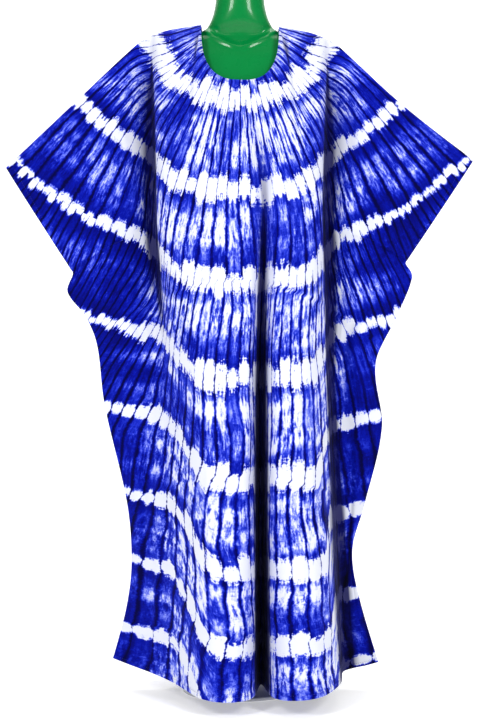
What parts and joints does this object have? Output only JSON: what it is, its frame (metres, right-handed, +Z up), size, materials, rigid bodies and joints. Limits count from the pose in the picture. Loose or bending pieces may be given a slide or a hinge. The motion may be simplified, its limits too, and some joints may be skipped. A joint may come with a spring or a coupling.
{
  "type": "grand boubou robe on dress form",
  "caption": "Wide folded-shoulder cotton robe with open wing sleeves, scooped neck and deep hem folds, standing on a limbless dress form with pole and round base.",
  "frame": {"origin": "middle of the stand's round base, on the floor, straight below the middle of the neck", "axes": "+Z up; -Y is the way the robe's front faces; +X is the robe's left-hand wing as worn, the right-hand one as seen from the front"},
  "size_m": [0.9819, 0.4739, 1.4853],
  "materials": {
    "robe_cloth": "matte cotton, blue and white tie-dye in rings about the neck",
    "neck_binding": "matte cotton, dark blue",
    "form_shell": "glossy green shell",
    "stand_metal": "pale grey satin powder coat"
  },
  "bodies": {
    "root": {"front_panel": "robe_cloth", "back_panel": "robe_cloth", "form_torso": "form_shell", "form_neck_cap": "stand_metal", "form_collar": "stand_metal", "form_pole": "stand_metal", "form_base": "stand_metal", "hem_front": "robe_cloth", "cuff_hem_left_front": "robe_cloth", "cuff_hem_right_front": "robe_cloth", "neck_binding_front": "neck_binding", "hem_back": "robe_cloth", "cuff_hem_left_back": "robe_cloth", "cuff_hem_right_back": "robe_cloth", "neck_binding_back": "neck_binding"}
  },
  "joints": []
}
